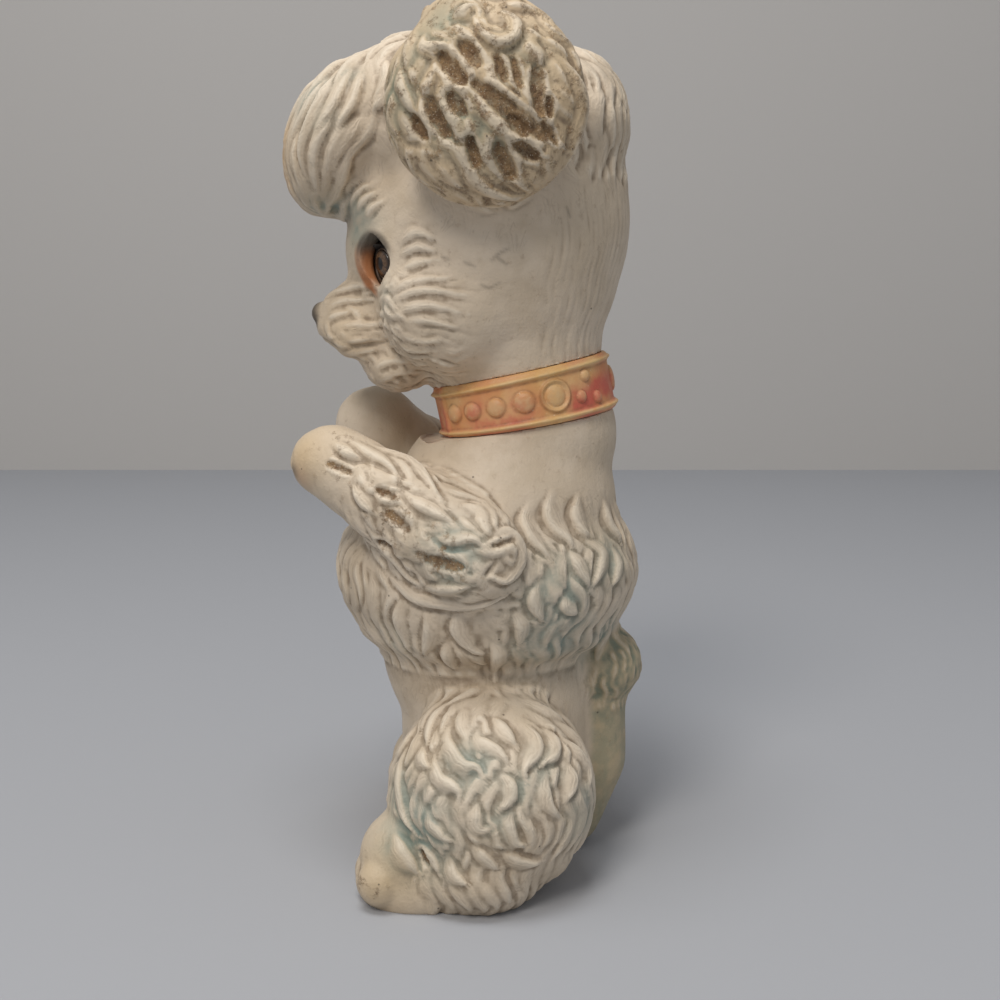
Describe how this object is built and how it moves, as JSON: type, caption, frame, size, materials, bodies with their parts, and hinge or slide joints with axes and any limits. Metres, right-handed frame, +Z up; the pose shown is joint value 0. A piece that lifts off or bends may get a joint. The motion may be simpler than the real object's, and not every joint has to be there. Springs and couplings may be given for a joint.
{
  "type": "rubber squeak toy",
  "caption": "Hollow rubber poodle squeak toy that sits up and begs, with a turning head, sleep eyes, a studded collar and a squeaker in its base.",
  "frame": {"origin": "middle of the overall outline at the flat base that the toy stands on", "axes": "+Z up, -Y the way the poodle faces, +X the poodle's left side, which is the side in the picture"},
  "size_m": [0.1234, 0.1132, 0.2536],
  "materials": {
    "cream_rubber": "matte aged latex rubber, airbrushed in the recesses",
    "painted_collar_rubber": "rubber painted yellow with a red overspray, satin",
    "eye_case_plastic": "satin brown plastic",
    "pin_steel": "plain drawn wire",
    "eye_plastic": "glossy plastic, painted",
    "iris_plastic": "clear glossy brown plastic",
    "weight_metal": "dull cast metal",
    "lash_fibre": "dark stiff fibre",
    "squeaker_steel": "pressed tinned sheet, dulled",
    "reed_brass": "thin rolled brass"
  },
  "bodies": {
    "body": {"body_shell": "cream_rubber", "collar": "painted_collar_rubber", "squeaker_can": "squeaker_steel", "reed_plate": "reed_brass", "reed_clamp": "squeaker_steel", "squeaker_cap": "squeaker_steel"},
    "head": {"head_shell": "cream_rubber", "left_eye_case": "eye_case_plastic", "left_eye_pin": "pin_steel", "right_eye_case": "eye_case_plastic", "right_eye_pin": "pin_steel"},
    "left_eye": {"left_eye_ball": "eye_plastic", "left_eye_iris": "iris_plastic", "left_eye_weight": "weight_metal", "left_eye_lashes": "lash_fibre"},
    "right_eye": {"right_eye_ball": "eye_plastic", "right_eye_iris": "iris_plastic", "right_eye_weight": "weight_metal", "right_eye_lashes": "lash_fibre"},
    "reed": {"squeaker_reed": "reed_brass"}
  },
  "joints": [
    {"name": "neck_swivel", "type": "hinge", "parent": "body", "child": "head", "pos_m": [0.00025, 0.01748, 0.144], "axis": [0, -0.2079, 0.9781], "continuous": true},
    {"name": "left_eye_roll", "type": "hinge", "parent": "head", "child": "left_eye", "pos_m": [0.01525, -0.01943, 0.184], "axis": [0.8191, 0.5736, 0], "range_deg": [0, 45]},
    {"name": "right_eye_roll", "type": "hinge", "parent": "head", "child": "right_eye", "pos_m": [-0.01475, -0.01943, 0.184], "axis": [0.8191, -0.5736, 0], "range_deg": [0, 45]},
    {"name": "reed_flutter", "type": "hinge", "parent": "body", "child": "reed", "pos_m": [-0.00295, 0.00808, 0.00893], "axis": [0, 1, 0], "range_deg": [-3, 3], "stiffness_Nm_per_rad": 0.002}
  ]
}
